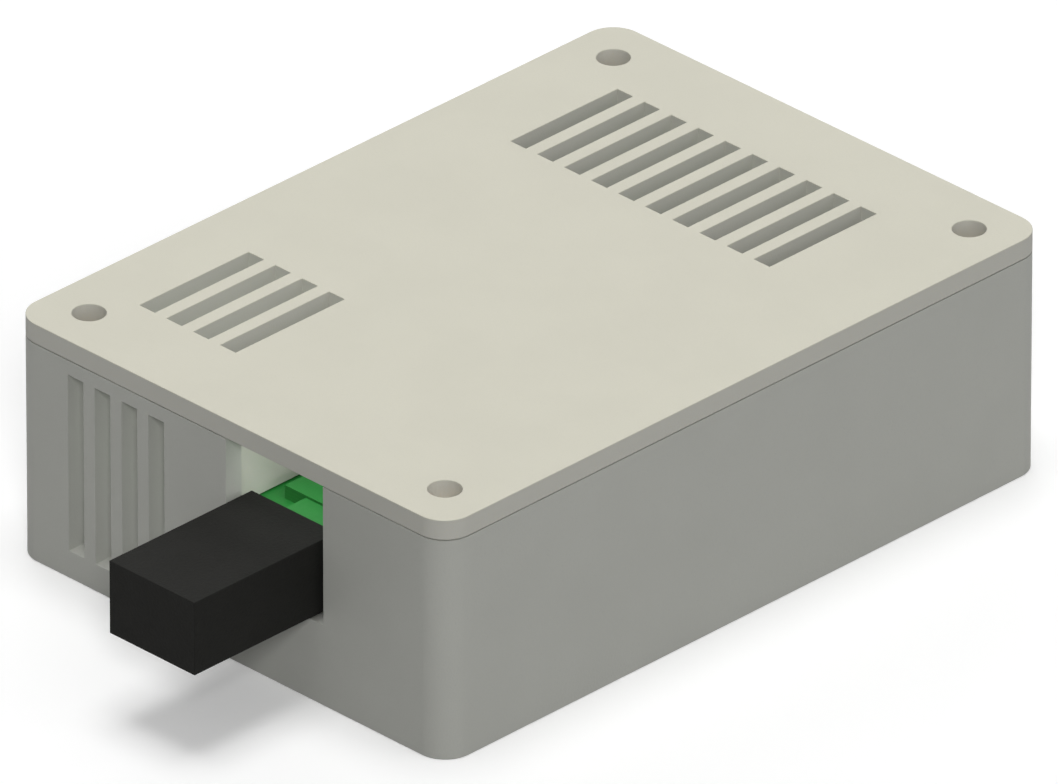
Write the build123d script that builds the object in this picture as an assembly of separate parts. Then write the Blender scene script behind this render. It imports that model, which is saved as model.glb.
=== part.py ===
from build123d import *
import os

# Sensor enclosure, in millimetres. X runs across the box, Y along it, Z up.
# The origin is the middle of the bottom face. The short wall with the vents and the plug faces -Y.

# Box
box_width = 56.0
box_length = 78.0
body_height = 23.0
lid_thickness = 2.0
wall = 2.0
floor = 2.0
corner_radius = 3.0

# Lid screws and the brass inserts under them
screw_inset = 5.0            # from the box's sides to each screw's axis
lid_hole_diameter = 3.2
insert_diameter = 4.2
insert_bore_diameter = 2.5
insert_length = 5.0
insert_groove = 0.3
post_wall = 1.5              # plastic left around an insert
screw_room = 12.0            # free depth under an insert for a long screw

# Lip under the lid
lip_thickness = 1.2
lip_depth = 1.5
lip_gap = 0.2

# Vents
slot_width = 2.0
slot_pitch = 3.5
slot_length = 14.0
front_slot_count = 4
front_slot_shift = 0.5       # the group's middle, to the right of the sensor chamber's
front_slot_start = 9.25      # from the front wall's outer face to the slots
rear_slot_count = 10
rear_slot_shift = -1.75      # the group's middle, from the box's
rear_slot_end = 9.0          # from the slots to the rear wall's outer face
wall_slot_sill = 2.85        # from the bottom face to the front wall's slots
wall_slot_head = 1.65        # left above them, up to the body's rim

# Sensor chamber, closed off by a baffle under the lid and a rib on the floor
chamber_length = 26.0
baffle_thickness = 1.4
baffle_gap = 0.25            # above and below the main board
baffle_radio_gap = 1.9       # from the baffle's side to the radio module

# Main board on four standoffs
board_thickness = 1.6
board_gap = 0.5              # to the side and rear walls
board_front_gap = 1.4        # to the front wall
board_post_gap = 0.4
standoff_height = 9.6
standoff_diameter = 5.2
standoff_inset_x = 6.5       # from the box's sides
standoff_inset_y = 15.0
gusset_thickness = 1.2
gusset_drop = 1.5
board_screw_diameter = 2.0
board_screw_length = 6.0
board_screw_head = 3.8
board_screw_head_height = 1.4
board_screw_head_edge = 0.5
board_hole_diameter = 2.3
relief_slot_width = 1.5      # milled beside the sensor to keep the board's heat away
relief_slot_gap = 2.5        # from the sensor's board to that slot

# Power plug and its receptacle
plug_inset = 21.95           # plug's axis, from the right wall's outer face
plug_width = 11.0
plug_height = 7.6
plug_length = 18.2
plug_depth = 2.57            # how far it reaches in past the front wall's outer face
plug_edge = 0.05
notch_gap = 0.75
receptacle_width = 8.0
receptacle_height = 2.8
receptacle_length = 5.0
receptacle_sink = 0.2        # its middle, below the main board's top
receptacle_taper = 1.2       # the lower corners are cut off by this much
receptacle_wall = 0.35
receptacle_setback = 1.0     # from the front wall's inner face to its mouth
receptacle_fit = 0.1         # in the board's cut-out
tip_gap = 0.15
tip_wall = 0.25
tip_end_gap = 0.3
tip_root = 1.5               # length held in the overmould
tongue_width = 4.6
tongue_thickness = 0.5
tongue_root = 0.8

# Radio module behind the receptacle
radio_shift = 2.24           # its middle, to the right of the plug's axis
radio_width = 18.0
radio_length = 25.5
radio_thickness = 1.4
radio_front_gap = 0.05
radio_pad_count = 14
radio_pad_pitch = 1.27
radio_pad_diameter = 0.8
radio_can_width = 15.8
radio_can_length = 17.6
radio_can_height = 2.2
radio_can_rear_gap = 1.1
radio_can_edge = 0.3

# Parts behind the sensor chamber
bridge_gap = 7.5             # from the baffle's rear face to the bridge chip's middle
bridge_size = (5.0, 5.0, 0.9)
bridge_row_gap = 4.8         # from its middle to the rows of small chips on both sides

# Parts beside the radio module
fuse_inset = 4.1             # from the main board's right edge
fuse_screw_gap = 16.0        # from the front right board screw, along the box
fuse_size = (3.2, 4.5, 0.9)
led_fuse_gap = 14.0
led_size = (0.8, 1.6, 0.6)

# Regulator under the rear vents, and its capacitors
regulator_shift = 3.0        # in front of the vents' middle
regulator_size = (6.5, 3.5, 1.6)
regulator_edge = 0.2
regulator_lead = (0.7, 1.8, 0.3)
regulator_lead_pitch = 2.3
regulator_tab_width = 3.0
regulator_row_gap = 6.5      # from its middle to the small chips in front of it
regulator_row_spread = 8.0   # and from its middle to both sides
capacitor_spread = 10.0
capacitor_diameter = 6.3
capacitor_height = 5.4
capacitor_base_size = 6.6
capacitor_base_height = 1.0
capacitor_base_corner = 1.1
capacitor_crimp = 1.4        # from the can's foot to its crimp groove
capacitor_groove = 0.3

# Rows of small chips
chip_size = (1.25, 2.0, 0.7)
chip_pitch = 2.6
chip_count = 4

# Pin headers
pin_pitch = 2.54
pin_size = 0.64
strip_width = 2.5
strip_height = 2.54
pin_hole_diameter = 1.0
pin_tail = 1.4
service_pin_count = 6
service_pin_room = 1.5       # from the pins' points up to the lid
service_inset = 6.5          # from the rear wall's outer face
sensor_pin_count = 4

# Sensor on its own small board
sensor_board_width = 13.0
sensor_board_length = 17.0
sensor_board_thickness = 1.2
sensor_board_edge = 2.0      # from its rear edge to the pins
sensor_size = (5.0, 5.0, 1.2)
sensor_board_corner = 1.0
sensor_window_diameter = 3.0
sensor_window_depth = 0.4
sensor_filter_gap = 0.05
sensor_pin_reach = 0.8

# Levels and inner faces, worked out from the values above
left = -box_width / 2
right = box_width / 2
front = -box_length / 2
rear = box_length / 2
inner_width = box_width - 2 * wall
inner_length = box_length - 2 * wall
inner_radius = max(corner_radius - wall, 0.2)
inner_left = left + wall
inner_front = front + wall
screw_x = right - screw_inset
screw_y = rear - screw_inset
post_radius = insert_diameter / 2 + post_wall
standoff_x = right - standoff_inset_x
standoff_y = rear - standoff_inset_y
board_bottom = floor + standoff_height
board_top = board_bottom + board_thickness
board_front = inner_front + board_front_gap
board_rear = rear - wall - board_gap
board_right = right - wall - board_gap
corners = {
    "front_left": (-1, -1),
    "front_right": (1, -1),
    "rear_left": (-1, 1),
    "rear_right": (1, 1),
}

# Plug, receptacle and radio module, from the right wall inwards
plug_axis_x = right - plug_inset
plug_z = board_top - receptacle_sink
plug_rear = front + plug_depth
receptacle_front = inner_front + receptacle_setback
receptacle_rear = receptacle_front + receptacle_length
radio_front = receptacle_rear + radio_front_gap
radio_middle_x = plug_axis_x + radio_shift
radio_middle_y = radio_front + radio_length / 2
radio_top = board_top + radio_thickness

# The baffle's two outer faces, and the middle of the chamber that it leaves
baffle_x = radio_middle_x - radio_width / 2 - baffle_radio_gap
baffle_y = inner_front + chamber_length + baffle_thickness
chamber_middle_x = (inner_left + baffle_x - baffle_thickness) / 2


def spread(middle, pitch, count):
    """Evenly spaced places round a middle."""
    return [middle + (i - (count - 1) / 2) * pitch for i in range(count)]


# Vents
front_slot_x = spread(chamber_middle_x + front_slot_shift, slot_pitch, front_slot_count)
rear_slot_x = spread(rear_slot_shift, slot_pitch, rear_slot_count)
front_slot_y = front + front_slot_start + slot_length / 2
rear_slot_y = rear - rear_slot_end - slot_length / 2
wall_slot_top = body_height - wall_slot_head

# Sensor module, in the middle of the chamber's vents
sensor_x = chamber_middle_x + front_slot_shift
sensor_y = front_slot_y
sensor_board_bottom = board_top + strip_height
sensor_board_top = sensor_board_bottom + sensor_board_thickness
sensor_pin_x = spread(sensor_x, pin_pitch, sensor_pin_count)
sensor_pin_y = sensor_y + sensor_board_length / 2 - sensor_board_edge
service_pin_x = spread(0, pin_pitch, service_pin_count)
service_pin_y = rear - service_inset

# Middle places of the parts on the main board
bridge_place = (chamber_middle_x, baffle_y + bridge_gap)
fuse_place = (board_right - fuse_inset, fuse_screw_gap - standoff_y)
led_place = (fuse_place[0], fuse_place[1] + led_fuse_gap)
regulator_place = (rear_slot_shift, rear_slot_y - regulator_shift)
chip_rows = [
    (bridge_place[0], bridge_place[1] - bridge_row_gap),
    (bridge_place[0], bridge_place[1] + bridge_row_gap),
    (regulator_place[0] - regulator_row_spread, regulator_place[1] - regulator_row_gap),
    (regulator_place[0] + regulator_row_spread, regulator_place[1] - regulator_row_gap),
]


def upright(profile, low, high):
    """A flat profile raised from one level to another."""
    return Pos(0, 0, low) * extrude(profile, amount=high - low)


def along_y(profile, start, end):
    """A profile drawn in X and Z about the plug's axis, drawn out along Y."""
    plane = Plane(origin=(plug_axis_x, end, plug_z), x_dir=(1, 0, 0), z_dir=(0, -1, 0))
    return extrude(plane * profile, amount=end - start)


def block(x, y, low, size):
    """A block on a level, with its middle at x, y."""
    return Pos(x, y, low + size[2] / 2) * Box(*size)


def corner_profile(side_x, side_y, radius):
    """A round post at a lid screw, filled out to the box's corner."""
    fill_x = side_x * (right - screw_inset / 2)
    fill_y = side_y * (rear - screw_inset / 2)
    round_part = Pos(side_x * screw_x, side_y * screw_y) * Circle(radius)
    return round_part + Pos(fill_x, fill_y) * Rectangle(screw_inset, screw_inset)


def baffle_profile(gap):
    """The L that parts the sensor chamber from the board bay, with a gap to the walls."""
    across = baffle_x - inner_left - gap
    along = baffle_y - inner_front - gap
    side_leg = Pos(baffle_x - baffle_thickness / 2, baffle_y - along / 2) * Rectangle(baffle_thickness, along)
    rear_leg = Pos(baffle_x - across / 2, baffle_y - baffle_thickness / 2) * Rectangle(across, baffle_thickness)
    return side_leg + rear_leg


def plug_profile(shrink):
    """The receptacle's outline, with its lower corners cut off, made smaller all round."""
    half_width = receptacle_width / 2 - shrink
    half_height = receptacle_height / 2 - shrink
    taper = receptacle_taper
    points = [
        (-half_width, half_height),
        (half_width, half_height),
        (half_width, taper - half_height),
        (half_width - taper, -half_height),
        (taper - half_width, -half_height),
        (-half_width, taper - half_height),
    ]
    return make_face(Polyline(*points, close=True))


def make_body():
    body = upright(RectangleRounded(box_width, box_length, corner_radius), 0, body_height)
    body -= upright(RectangleRounded(inner_width, inner_length, inner_radius), floor, body_height)
    outline = RectangleRounded(box_width, box_length, corner_radius)
    for side_x, side_y in corners.values():
        body += upright(corner_profile(side_x, side_y, post_radius) & outline, 0, body_height)

    # Standoffs, each tied to the side wall by a gusset
    reach = right - wall / 2 - standoff_x
    for side_x, side_y in corners.values():
        place = Pos(side_x * standoff_x, side_y * standoff_y)
        body += place * upright(Circle(standoff_diameter / 2), floor / 2, board_bottom)
        gusset = Pos(side_x * (standoff_x + reach / 2), side_y * standoff_y) * Rectangle(reach, gusset_thickness)
        body += upright(gusset, floor / 2, board_bottom - gusset_drop)

    # Rib that carries the chamber's wall on down to the floor
    body += upright(baffle_profile(0), floor / 2, board_bottom - baffle_gap)

    # Bores for the inserts with room below them, and for the board's screws
    for side_x, side_y in corners.values():
        insert_low = body_height - insert_length
        lid_axis = Pos(side_x * screw_x, side_y * screw_y)
        body -= lid_axis * upright(Circle(insert_diameter / 2), insert_low, body_height)
        body -= lid_axis * upright(Circle(insert_bore_diameter / 2), insert_low - screw_room, insert_low)
        board_axis = Pos(side_x * standoff_x, side_y * standoff_y)
        bore_low = board_bottom - board_screw_length
        body -= board_axis * upright(Circle(board_screw_diameter / 2), bore_low, board_bottom)

    # Front wall: vents on the chamber's side, and a notch for the plug that the lid closes
    for x in front_slot_x:
        slot = (slot_width, 2 * wall, wall_slot_top - wall_slot_sill)
        body -= block(x, inner_front - wall / 2, wall_slot_sill, slot)
    notch_low = plug_z - plug_height / 2 - notch_gap
    notch = (plug_width + 2 * notch_gap, 2 * wall, body_height - notch_low)
    body -= block(plug_axis_x, inner_front - wall / 2, notch_low, notch)
    return body


def make_lid():
    lid_top = body_height + lid_thickness
    lid = upright(RectangleRounded(box_width, box_length, corner_radius), body_height, lid_top)

    # Lip that finds the body's walls, broken at the posts and over the plug
    lip_radius = max(inner_radius - lip_gap, 0.1)
    lip_width = inner_width - 2 * lip_gap
    lip_length = inner_length - 2 * lip_gap
    lip = RectangleRounded(lip_width, lip_length, lip_radius)
    lip -= Rectangle(lip_width - 2 * lip_thickness, lip_length - 2 * lip_thickness)
    for side_x, side_y in corners.values():
        lip -= corner_profile(side_x, side_y, post_radius + lip_gap)
    relief = Rectangle(plug_width + 2 * notch_gap, 4 * lip_thickness)
    lip -= Pos(plug_axis_x, inner_front) * relief
    lid += upright(lip, body_height - lip_depth, body_height + lid_thickness / 2)

    # Baffle that hangs down to the main board round the sensor chamber
    baffle = baffle_profile(lip_gap)
    for side_x, side_y in corners.values():
        baffle -= corner_profile(side_x, side_y, post_radius + lip_gap)
    lid += upright(baffle, board_top + baffle_gap, body_height + lid_thickness / 2)

    # Vents and screw holes
    cut = 3 * lid_thickness
    for x in front_slot_x:
        lid -= block(x, front_slot_y, body_height - lid_thickness, (slot_width, slot_length, cut))
    for x in rear_slot_x:
        lid -= block(x, rear_slot_y, body_height - lid_thickness, (slot_width, slot_length, cut))
    for side_x, side_y in corners.values():
        hole = Pos(side_x * screw_x, side_y * screw_y) * Circle(lid_hole_diameter / 2)
        lid -= upright(hole, body_height - lid_thickness, lid_top + lid_thickness)
    return lid


def make_insert(side_x, side_y):
    """A brass insert set into a post from above, with one groove between its knurled bands."""
    outer = insert_diameter / 2
    band = insert_length / 3
    low = body_height - insert_length
    insert = upright(Circle(outer), low, body_height)
    groove = Circle(outer) - Circle(outer - insert_groove)
    insert -= upright(groove, low + band, body_height - band)
    insert -= upright(Circle(insert_bore_diameter / 2), low, body_height)
    return Pos(side_x * screw_x, side_y * screw_y) * insert


def pin_holes(pin_x, pin_y):
    """A header's holes in a board, each drawn with eight sides."""
    return [Pos(x, pin_y) * RegularPolygon(pin_hole_diameter / 2, 8) for x in pin_x]


def make_main_board():
    width = inner_width - 2 * board_gap
    length = board_rear - board_front
    outline = Pos(0, board_front + length / 2) * Rectangle(width, length)
    for side_x, side_y in corners.values():
        outline -= corner_profile(side_x, side_y, post_radius + board_post_gap)
        outline -= Pos(side_x * standoff_x, side_y * standoff_y) * Circle(board_hole_diameter / 2)

    # Cut-out that the receptacle sits in
    cut_length = receptacle_rear + receptacle_fit - board_front + board_front_gap
    cut = Rectangle(receptacle_width + 2 * receptacle_fit, cut_length)
    outline -= Pos(plug_axis_x, receptacle_rear + receptacle_fit - cut_length / 2) * cut

    # Slots milled beside the sensor and behind it
    side_x = sensor_x + sensor_board_width / 2 + relief_slot_gap / 2
    side_slot = SlotCenterToCenter(sensor_board_length - 2 * relief_slot_gap, relief_slot_width, rotation=90)
    outline -= Pos(side_x, sensor_y) * side_slot
    rear_y = sensor_y + sensor_board_length / 2 + relief_slot_gap / 2
    rear_slot = SlotCenterToCenter(sensor_board_width - 2 * relief_slot_gap, relief_slot_width)
    outline -= Pos(sensor_x, rear_y) * rear_slot

    outline -= pin_holes(sensor_pin_x, sensor_pin_y) + pin_holes(service_pin_x, service_pin_y)
    return upright(outline, board_bottom, board_top)


def make_board_screws():
    """Four pan-head screws that hold the main board on its standoffs."""
    screws = []
    for side_x, side_y in corners.values():
        shank = upright(Circle(board_screw_diameter / 2), board_top - board_screw_length, board_top)
        head = upright(Circle(board_screw_head / 2), board_top, board_top + board_screw_head_height)
        head = chamfer(head.edges().group_by(Axis.Z)[-1], board_screw_head_edge)
        screws.append(Pos(side_x * standoff_x, side_y * standoff_y) * (shank + head))
    return screws


def make_receptacle_shell():
    shell = plug_profile(0) - plug_profile(receptacle_wall)
    return along_y(shell, receptacle_front, receptacle_rear)


def make_receptacle_tongue():
    """The block that closes the shell's rear end, and the tongue that the plug slides over."""
    root = along_y(plug_profile(receptacle_wall), receptacle_rear - tongue_root, receptacle_rear)
    tongue_front = receptacle_front + receptacle_length / 4
    tongue = along_y(Rectangle(tongue_width, tongue_thickness), tongue_front, receptacle_rear)
    return root + tongue


def make_plug_overmould():
    plug = along_y(Rectangle(plug_width, plug_height), plug_rear - plug_length, plug_rear)
    plug = chamfer(plug.edges(), plug_edge)
    return plug - along_y(plug_profile(receptacle_wall + tip_gap), plug_rear - tip_root, plug_rear + wall)


def make_plug_tip():
    tip_profile = plug_profile(receptacle_wall + tip_gap) - plug_profile(receptacle_wall + tip_gap + tip_wall)
    return along_y(tip_profile, plug_rear - tip_root, receptacle_rear - tongue_root - tip_end_gap)


def make_radio_board():
    """A module board with half holes along both sides, soldered flat on the main board."""
    outline = Rectangle(radio_width, radio_length)
    for i in range(radio_pad_count):
        pad_y = radio_length / 2 - (i + 1) * radio_pad_pitch
        for side in (-1, 1):
            outline -= Pos(side * radio_width / 2, pad_y) * RegularPolygon(radio_pad_diameter / 2, 8)
    return upright(Pos(radio_middle_x, radio_middle_y) * outline, board_top, radio_top)


def make_radio_can():
    can_y = radio_front + radio_length - radio_can_rear_gap - radio_can_length / 2
    can = block(radio_middle_x, can_y, radio_top, (radio_can_width, radio_can_length, radio_can_height))
    return chamfer(can.edges().filter_by(Axis.Z) + can.edges().group_by(Axis.Z)[-1], radio_can_edge)


def make_regulator_leads():
    """Three leads at the front of the regulator and its wide tab behind."""
    x, y = regulator_place
    lead_y = y - regulator_size[1] / 2 - regulator_lead[1] / 2
    tab_y = y + regulator_size[1] / 2 + regulator_lead[1] / 2
    leads = [block(x + i * regulator_lead_pitch, lead_y, board_top, regulator_lead) for i in (-1, 0, 1)]
    tab = (regulator_tab_width, regulator_lead[1], regulator_lead[2])
    return leads + [block(x, tab_y, board_top, tab)]


def make_regulator_body():
    body = block(*regulator_place, board_top, regulator_size)
    return chamfer(body.faces().sort_by(Axis.Z)[-1].edges(), regulator_edge)


def make_capacitor_base(x, y):
    base = block(x, y, board_top, (capacitor_base_size, capacitor_base_size, capacitor_base_height))
    marked = base.edges().filter_by(Axis.Z).sort_by(Axis.Y)[:2]
    return chamfer(marked, capacitor_base_corner)


def make_capacitor_can(x, y):
    """A turned can with a crimp groove round its foot."""
    radius = capacitor_diameter / 2
    low = board_top + capacitor_base_height
    can = upright(Circle(radius), low, low + capacitor_height)
    groove = Circle(radius) - Circle(radius - capacitor_groove)
    can -= upright(groove, low + capacitor_crimp, low + capacitor_crimp + capacitor_groove)
    return Pos(x, y) * can


def make_small_chips():
    """Rows of small resistors and capacitors on the main board."""
    chips = []
    for row_x, row_y in chip_rows:
        chips += [block(x, row_y, board_top, chip_size) for x in spread(row_x, chip_pitch, chip_count)]
    return chips


def make_strip(pin_x, pin_y):
    """The header's plastic strip, with each pin's square hole and a nick between two pins."""
    length = len(pin_x) * pin_pitch
    middle = sum(pin_x) / len(pin_x)
    outline = Rectangle(length, strip_width)
    nick = Rectangle(strip_width / 4, strip_width / 4, rotation=45)
    for i in range(1, len(pin_x)):
        for side in (-1, 1):
            outline -= Pos(i * pin_pitch - length / 2, side * strip_width / 2) * nick
    outline = Pos(middle, pin_y) * outline
    for x in pin_x:
        outline -= Pos(x, pin_y) * Rectangle(pin_size, pin_size)
    return upright(outline, board_top, board_top + strip_height)


def make_pins(pin_x, pin_y, top):
    """Square pins through the main board, each with a pyramid point at its upper end."""
    pins = []
    for x in pin_x:
        pin = block(x, pin_y, board_bottom - pin_tail, (pin_size, pin_size, top - board_bottom + pin_tail))
        pins.append(chamfer(pin.faces().sort_by(Axis.Z)[-1].edges(), pin_size / 4))
    return pins


def make_sensor_board():
    outline = RectangleRounded(sensor_board_width, sensor_board_length, sensor_board_corner)
    outline = Pos(sensor_x, sensor_y) * outline - pin_holes(sensor_pin_x, sensor_pin_y)
    return upright(outline, sensor_board_bottom, sensor_board_top)


def make_sensor_package():
    """The sensing chip, with a round window in its lid."""
    package = block(sensor_x, sensor_y, sensor_board_top, sensor_size)
    top = sensor_board_top + sensor_size[2]
    window = Pos(sensor_x, sensor_y) * Circle(sensor_window_diameter / 2)
    return package - upright(window, top - sensor_window_depth, top)


def make_sensor_filter():
    """The white membrane that lies in the sensing chip's window."""
    top = sensor_board_top + sensor_size[2]
    disc = Pos(sensor_x, sensor_y) * Circle(sensor_window_diameter / 2 - sensor_filter_gap)
    return upright(disc, top - sensor_window_depth, top)


def make_parts():
    capacitor_places = {
        "left": (regulator_place[0] - capacitor_spread, regulator_place[1]),
        "right": (regulator_place[0] + capacitor_spread, regulator_place[1]),
    }
    parts = {
        "enclosure_body": make_body(),
        "enclosure_lid": make_lid(),
        "main_board": make_main_board(),
        "board_screws": make_board_screws(),
        "receptacle_shell": make_receptacle_shell(),
        "receptacle_tongue": make_receptacle_tongue(),
        "plug_overmould": make_plug_overmould(),
        "plug_tip": make_plug_tip(),
        "radio_board": make_radio_board(),
        "radio_can": make_radio_can(),
        "bridge_chip": block(*bridge_place, board_top, bridge_size),
        "fuse": block(*fuse_place, board_top, fuse_size),
        "status_led": block(*led_place, board_top, led_size),
        "regulator_body": make_regulator_body(),
        "regulator_leads": make_regulator_leads(),
        "small_chips": make_small_chips(),
        "service_strip": make_strip(service_pin_x, service_pin_y),
        "service_pins": make_pins(service_pin_x, service_pin_y, body_height - service_pin_room),
        "sensor_strip": make_strip(sensor_pin_x, sensor_pin_y),
        "sensor_pins": make_pins(sensor_pin_x, sensor_pin_y, sensor_board_top + sensor_pin_reach),
        "sensor_board": make_sensor_board(),
        "sensor_package": make_sensor_package(),
        "sensor_filter": make_sensor_filter(),
    }
    for corner, (side_x, side_y) in corners.items():
        parts["insert_" + corner] = make_insert(side_x, side_y)
    for side, (x, y) in capacitor_places.items():
        parts["capacitor_base_" + side] = make_capacitor_base(x, y)
        parts["capacitor_can_" + side] = make_capacitor_can(x, y)
    return parts


os.makedirs("parts", exist_ok=True)
for node, shape in make_parts().items():
    solid = Compound(shape) if isinstance(shape, list) else shape
    export_step(solid, "parts/" + node + ".step")
print("wrote the parts")
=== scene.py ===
import math
import bmesh
import bpy
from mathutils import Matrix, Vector


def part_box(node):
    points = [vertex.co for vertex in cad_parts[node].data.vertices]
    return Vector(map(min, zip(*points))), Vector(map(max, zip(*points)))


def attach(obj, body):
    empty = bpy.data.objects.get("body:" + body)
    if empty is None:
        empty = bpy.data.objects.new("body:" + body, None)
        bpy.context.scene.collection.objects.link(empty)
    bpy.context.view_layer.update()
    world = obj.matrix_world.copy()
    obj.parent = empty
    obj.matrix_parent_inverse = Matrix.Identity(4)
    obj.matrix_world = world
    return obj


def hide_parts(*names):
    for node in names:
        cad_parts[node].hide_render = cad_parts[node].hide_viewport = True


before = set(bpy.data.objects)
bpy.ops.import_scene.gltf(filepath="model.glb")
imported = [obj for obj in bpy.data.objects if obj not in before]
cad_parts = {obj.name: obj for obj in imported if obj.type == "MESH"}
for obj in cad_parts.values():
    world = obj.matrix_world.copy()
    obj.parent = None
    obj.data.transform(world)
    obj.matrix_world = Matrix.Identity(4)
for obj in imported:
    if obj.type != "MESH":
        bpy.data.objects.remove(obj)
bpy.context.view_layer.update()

# The CAD model is in metres, and the sizes below are in millimetres
mm = 0.001
sceneCollection = bpy.context.scene.collection
enclosure = "enclosure"
plug = "plug"


# Helpers for node trees

def addNode(tree, kind, inputs=None, **settings):
    node = tree.nodes.new(kind)
    for name, value in settings.items():
        setattr(node, name, value)
    for key, value in (inputs or {}).items():
        if isinstance(value, bpy.types.NodeSocket):
            tree.links.new(value, node.inputs[key])
        else:
            node.inputs[key].default_value = value
    return node


def maths(tree, operation, *values):
    inputs = {i: value for i, value in enumerate(values)}
    return addNode(tree, "ShaderNodeMath", inputs, operation=operation).outputs[0]


def ramp(tree, factor, low, high):
    # 0 below low, 1 above high, smooth in between
    inputs = {"Value": factor, "From Min": low, "From Max": high}
    return addNode(tree, "ShaderNodeMapRange", inputs, interpolation_type="SMOOTHSTEP").outputs["Result"]


def blendColours(tree, factor, first, second):
    node = addNode(tree, "ShaderNodeMix", data_type="RGBA")
    for socket, value in zip((node.inputs[0], node.inputs[6], node.inputs[7]), (factor, first, second)):
        if isinstance(value, bpy.types.NodeSocket):
            tree.links.new(value, socket)
        else:
            socket.default_value = value
    return node.outputs[2]


def rgba(colour, share=1.0):
    return (colour[0] * share, colour[1] * share, colour[2] * share, 1.0)


def newMaterial(name):
    material = bpy.data.materials.new(name)
    material.use_nodes = True
    tree = material.node_tree
    surface = next(node for node in tree.nodes if node.type == "BSDF_PRINCIPLED")
    place = addNode(tree, "ShaderNodeTexCoord").outputs["Object"]
    return material, tree, surface, place


def noise(tree, place, scale, detail=2.0, roughness=0.5):
    inputs = {"Vector": place, "Scale": scale, "Detail": detail, "Roughness": roughness}
    return addNode(tree, "ShaderNodeTexNoise", inputs).outputs["Fac"]


def bump(tree, height, distance, strength=1.0):
    inputs = {"Height": height, "Distance": distance, "Strength": strength}
    return addNode(tree, "ShaderNodeBump", inputs).outputs["Normal"]


def swing(tree, pattern, middle, below, above):
    # A value that follows a pattern, from a little below its middle to a little above
    inputs = {"Value": pattern, "To Min": middle - below, "To Max": middle + above}
    return addNode(tree, "ShaderNodeMapRange", inputs).outputs["Result"]


# Materials. Scales are per metre, and depths in metres.

mouldTexture = {
    "grain": {"detail": 3.0, "roughness": 0.6}, "pitRange": (0.25, 0.45), "flowRange": (0.3, 0.7),
    "paintedShadeTopRange": (0.2, 0.9), "roughnessSwing": 0.06,
}


def mouldedPlastic(finish):
    # Spark-eroded mould texture: fine grain over slow flow marks, and, where a side colour is given, painted
    # shade: a cooler tint on faces that don't point up
    material, tree, surface, place = newMaterial(finish["name"])
    grain = noise(tree, place, finish["grainScale"], **mouldTexture["grain"])
    flow = ramp(tree, noise(tree, place, finish["flowScale"]), *mouldTexture["flowRange"])
    colour = finish["colour"]
    spread = finish["spread"]
    shell = blendColours(tree, flow, rgba(colour, 1 - spread), rgba(colour, 1 + spread))
    if "paintedShadeSideColour" in finish:  # painted shade: faces that don't point up take a cooler, bluer tint than the top, standing in for how the light falls on them
        normal = addNode(tree, "ShaderNodeNewGeometry").outputs["Normal"]
        upward = addNode(tree, "ShaderNodeSeparateXYZ", {0: normal}).outputs["Z"]
        top = ramp(tree, upward, *mouldTexture["paintedShadeTopRange"])
        shell = blendColours(tree, top, rgba(finish["paintedShadeSideColour"]), shell)
    pits = ramp(tree, grain, *mouldTexture["pitRange"])
    shell = blendColours(tree, pits, rgba(colour, finish["pitShade"]), shell)
    tree.links.new(shell, surface.inputs["Base Color"])
    swingWidth = mouldTexture["roughnessSwing"]
    roughness = swing(tree, grain, finish["roughness"], swingWidth, swingWidth)
    tree.links.new(roughness, surface.inputs["Roughness"])
    tree.links.new(bump(tree, grain, finish["grainDepth"]), surface.inputs["Normal"])
    surface.inputs["IOR"].default_value = finish["ior"]
    surface.inputs["Specular IOR Level"].default_value = finish["gloss"]
    return material


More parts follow.
